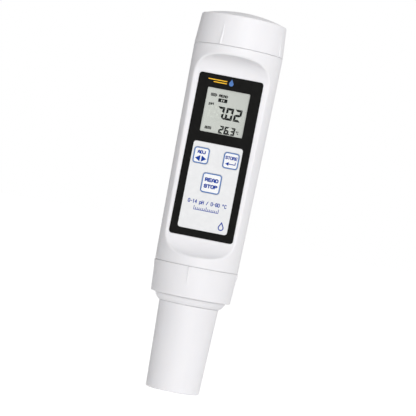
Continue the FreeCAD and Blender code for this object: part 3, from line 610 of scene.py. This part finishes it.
def print_panel():
    """Plain marks below the keys: the measuring range, a small 0 to 14 scale and a droplet."""
    low, high = box_mm("key_panel")
    middle = (low.x + high.x) / 2
    marks = Print("panel_marks", "housing", "pale_film", "blue", low.y * MM)
    marks.write("0-14 pH / 0-60 *C", middle, low.z + 12.3, width=17.4, height=1.75, stroke=0.31)
    base_z, reach = low.z + 8.8, SCALE_STEPS / 2 * SCALE_PITCH
    for step in range(SCALE_STEPS + 1):
        x = middle - reach + step * SCALE_PITCH
        tall = 1.6 if step % 7 == 0 else 0.9
        marks.ribbon([(x, base_z), (x, base_z + tall)], SCALE_STROKE)
    marks.ribbon([(middle - reach, base_z), (middle + reach, base_z)], SCALE_STROKE)
    drop_x, drop_z = middle + 7.9, low.z + 2.8
    marks.band(droplet(drop_x, drop_z, 1.3), droplet(drop_x, drop_z, 0.85))
    marks.finish()


def print_label():
    """A small plain ornament at the label's top: a droplet and two short bars."""
    low, high = box_mm("front_label")
    z = high.z - 2.9
    drop = Print("label_droplet", "housing", "black_film", "soft_blue", low.y * MM)
    drop.fill(droplet((low.x + high.x) / 2 + 0.3, z - 0.2, 1.0))
    drop.finish()
    bars = Print("label_bars", "housing", "black_film", "amber", low.y * MM)
    right_end = -1.6
    for rise, length in ((0.55, 8.5), (-0.45, 6.0)):
        bars.fill(rounded(right_end - length / 2, z + rise, length, 0.42, corner=0.2, steps=4))
    bars.finish()


def add_battery_sign(lit, z):
    """A battery with three cells and a terminal at its right, centred on z."""
    x, width, height, wall = -6.45, 2.5, 1.3, 0.3
    lit.band(
        rounded(x, z, width, height, corner=0.15, steps=3),
        rounded(x, z, width - 2 * wall, height - 2 * wall, corner=0.05, steps=3))
    for cell in (-1, 0, 1):
        lit.fill(rounded(x + cell * 0.58, z, 0.46, 0.54, corner=0.04, steps=3))
    lit.fill([(-5.15, z - 0.3), (-4.9, z - 0.3), (-4.9, z + 0.3), (-5.15, z + 0.3)])


def add_tag(lit, z):
    """A solid tag centred on z, with two pale bars on it as a pause sign."""
    x = -2.0
    lit.fill(rounded(x, z, 4.1, 1.6, corner=0.2, steps=3))
    pause = Print("display_tag_bars", "housing", "display_glass", "ghost", lit.front)
    for side in (-1, 1):
        pause.fill(rounded(x + side * 0.45, z, 0.35, 0.85, corner=0.05, steps=3))
    pause.finish()


def print_display():
    """The display's dark segments, with the unlit ones faintly showing."""
    low = box_mm("display_glass")[0]
    bottom = low.z + 1.2                    # the window's lower edge
    large_z, small_z = bottom + 6.6, bottom + 0.3
    face_y = low.y * MM
    faint = Print("display_unlit_segments", "housing", "display_glass", "ghost", face_y)
    lit = Print("display_segments", "housing", "display_glass", "display", face_y - PRINT_THICK)
    rows = (
        (" 702", (-7.6, -3.85, 0.15, 3.95), large_z, LARGE_DIGIT),
        ("263", (-1.5, 0.95, 3.65), small_z, SMALL_DIGIT),
    )
    for symbols, places, z, size in rows:
        for symbol, x in zip(symbols, places):
            for outline in segment_outlines("8", x, z, **size):
                faint.fill(outline)
            for outline in segment_outlines(symbol, x, z, **size):
                lit.fill(outline)
    for x, z, radius in ((-0.12, large_z, 0.42), (3.33, small_z, 0.28)):
        lit.fill(circle(x, z + radius, radius, steps=12))       # a decimal point
    lit.write("pH", -6.75, bottom + 12.7, width=2.2, height=1.25, stroke=0.31)
    lit.write("AUTO", -6.2, bottom + 1.95, width=2.9, height=1.3, stroke=0.30)
    lit.write("*C", 6.9, bottom + 1.9, width=1.3, height=1.4, stroke=0.24)
    add_battery_sign(lit, bottom + 16.7)
    lit.write("READ", -2.05, bottom + 16.7, width=4.0, height=1.25, stroke=0.33)
    add_tag(lit, bottom + 14.75)
    faint.finish()
    lit.finish()


# The soft sponge in the storage cap

SPONGE_ROUNDING = 1.0 * MM      # radius of its two edges
SPONGE_PIT = 0.05 * MM          # how far its skin wanders in and out
SPONGE_TURNS = 72


def sponge_profile(low_z, radius, thick):
    """Pairs of radius and height, from the middle of the foot round the side to the crown."""
    foot_z, shoulder_z = low_z + 0.02 * MM, low_z + 0.86 * thick
    profile = [(0.0, foot_z), (radius * 0.6, foot_z)]
    for start, centre_z in ((-90, low_z + SPONGE_ROUNDING), (0, shoulder_z - SPONGE_ROUNDING)):
        for step in range(7):
            angle = math.radians(start + 90 * step / 6)
            profile.append((
                radius - SPONGE_ROUNDING + SPONGE_ROUNDING * math.cos(angle),
                centre_z + SPONGE_ROUNDING * math.sin(angle)))
    crown = ((0.6, 0.95), (0.3, 0.985), (0.0, 0.99))        # shares of the radius and of the thickness
    return profile + [(radius * out, low_z + thick * up) for out, up in crown]


def make_sponge():
    """A crowned foam disc with softly rounded edges and a pitted surface, inside its CAD solid."""
    low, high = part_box("storage_sponge")
    radius = (high.x - low.x) / 2
    profile = sponge_profile(low.z, radius, high.z - low.z)
    mesh = bmesh.new()
    rings = []
    for r, z in profile[1:-1]:
        ring = []
        for turn in range(SPONGE_TURNS):
            angle = math.tau * turn / SPONGE_TURNS
            pit = SPONGE_PIT * math.sin(angle * 23 + z * 9000) * math.sin(r * 7000 + angle * 5)
            size = min(r + pit, radius)
            ring.append(mesh.verts.new((size * math.cos(angle), size * math.sin(angle), z)))
        rings.append(ring)
    foot = mesh.verts.new((0.0, 0.0, profile[0][1]))
    crown = mesh.verts.new((0.0, 0.0, profile[-1][1]))
    for turn in range(SPONGE_TURNS):
        after = (turn + 1) % SPONGE_TURNS
        mesh.faces.new((foot, rings[0][after], rings[0][turn]))
        mesh.faces.new((crown, rings[-1][turn], rings[-1][after]))
        for below, above in zip(rings, rings[1:]):
            mesh.faces.new((below[turn], below[after], above[after], above[turn]))
    for face in mesh.faces:
        face.smooth = True
    piece = place("sponge_pad", mesh, LOOKS["sponge"].material)
    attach(piece, "storage_cap")
    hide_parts("storage_sponge")


# Floor, light and camera

FLOOR_REACH = 6.0               # half of its side
FLOOR_WHITE = 0.86              # glow that the camera sees, which fades the floor into the room
FLOOR_GLOW = 0.5                # glow that lights the object from below
ROOM_LEFT, ROOM_RIGHT = 0.0, 0.82       # strength of the room's light from either side
AIM = Vector((0.08 * MM, 0.0, 82.84 * MM))      # the spot that the camera and the lights face
DISTANCE = 938 * MM             # from there to the camera
SIDEWAYS = math.radians(3.6)    # how far round to the tester's right the camera stands
LEAN = math.radians(11.09)      # how far the camera is turned about its own line of sight
LENS, SENSOR = 181.95, 36.0
SOFTBOXES = {
    "key_softbox": {"spot": (0.30, -1.15, 0.40), "size": 0.8, "power": 5.4},
    "fill_softbox": {"spot": (-0.6, -1.0, 0.3), "size": 0.6, "power": 1.85},
    "top_softbox": {"spot": (0.10, -0.15, 1.05), "size": 0.8, "power": 1.8},
}


def make_floor():
    """A wide pale floor that glows enough to fade into the pale room."""
    corners = [(FLOOR_REACH * x, FLOOR_REACH * y, 0.0) for x, y in ((-1, -1), (1, -1), (1, 1), (-1, 1))]
    made = bpy.data.meshes.new("floor")
    made.from_pydata(corners, [], [(0, 1, 2, 3)])
    look = Look("floor_white", 0.9)
    look.mottled(((0.38, 0.38, 0.38), (0.40, 0.40, 0.40)), 3.0)
    look.set("Emission Color", (1.0, 1.0, 1.0, 1.0))
    seen = look.node("ShaderNodeLightPath").outputs["Is Camera Ray"]
    glow = look.range(seen, FLOOR_GLOW, FLOOR_WHITE, start=0.0, stop=1.0)
    look.link(glow, look.shader.inputs["Emission Strength"])
    look.set("Specular IOR Level", 0.0)
    made.materials.append(look.material)
    floor = bpy.data.objects.new("floor", made)
    bpy.context.scene.collection.objects.link(floor)


def make_room():
    """White to the camera, and a softer, left-darkened surround as light."""
    world = bpy.data.worlds.new("room")
    bpy.context.scene.world = world
    world.use_nodes = True
    tree = world.node_tree
    surround = tree.nodes["Background"]
    coords = tree.nodes.new("ShaderNodeTexCoord")
    split = tree.nodes.new("ShaderNodeSeparateXYZ")
    tree.links.new(coords.outputs["Generated"], split.inputs["Vector"])
    graded = tree.nodes.new("ShaderNodeMapRange")
    spans = {"From Min": -1.0, "From Max": 1.0, "To Min": ROOM_LEFT, "To Max": ROOM_RIGHT}
    for name, value in spans.items():
        graded.inputs[name].default_value = value
    tree.links.new(split.outputs["X"], graded.inputs["Value"])
    tree.links.new(graded.outputs["Result"], surround.inputs["Strength"])
    seen = tree.nodes.new("ShaderNodeBackground")
    for glow in (surround, seen):
        glow.inputs["Color"].default_value = (1.0, 1.0, 1.0, 1.0)
    rays = tree.nodes.new("ShaderNodeLightPath")
    mixer = tree.nodes.new("ShaderNodeMixShader")
    tree.links.new(rays.outputs["Is Camera Ray"], mixer.inputs["Fac"])
    tree.links.new(surround.outputs["Background"], mixer.inputs[1])
    tree.links.new(seen.outputs["Background"], mixer.inputs[2])
    tree.links.new(mixer.outputs["Shader"], tree.nodes["World Output"].inputs["Surface"])


def softbox(name, spot, size, power):
    """A square area light that faces the tester and isn't seen by the camera."""
    data = bpy.data.lights.new(name, "AREA")
    data.shape, data.size, data.energy = "SQUARE", size, power
    lamp = bpy.data.objects.new(name, data)
    lamp.location = spot
    lamp.rotation_mode = "QUATERNION"
    lamp.rotation_quaternion = (AIM - Vector(spot)).to_track_quat("-Z", "Y")
    lamp.visible_camera = False
    bpy.context.scene.collection.objects.link(lamp)


def make_camera():
    """Level with the tester's middle and a little to its right, turned so that its top leans right."""
    data = bpy.data.cameras.new("camera")
    data.lens, data.sensor_width = LENS, SENSOR
    data.clip_start, data.clip_end = 0.05, 50.0
    camera = bpy.data.objects.new("camera", data)
    back = Vector((math.sin(SIDEWAYS), -math.cos(SIDEWAYS), 0.0))
    turn = (-back).to_track_quat("-Z", "Y").to_matrix().to_4x4() @ Matrix.Rotation(LEAN, 4, "Z")
    camera.matrix_world = Matrix.Translation(AIM + back * DISTANCE) @ turn
    bpy.context.scene.collection.objects.link(camera)
    bpy.context.scene.camera = camera


make_camera()
dress_nodes()
print_keys()
print_panel()
print_label()
print_display()
make_sponge()
make_floor()
make_room()
for lamp_name, settings in SOFTBOXES.items():
    softbox(lamp_name, **settings)
bpy.context.scene.view_settings.view_transform = "Standard"
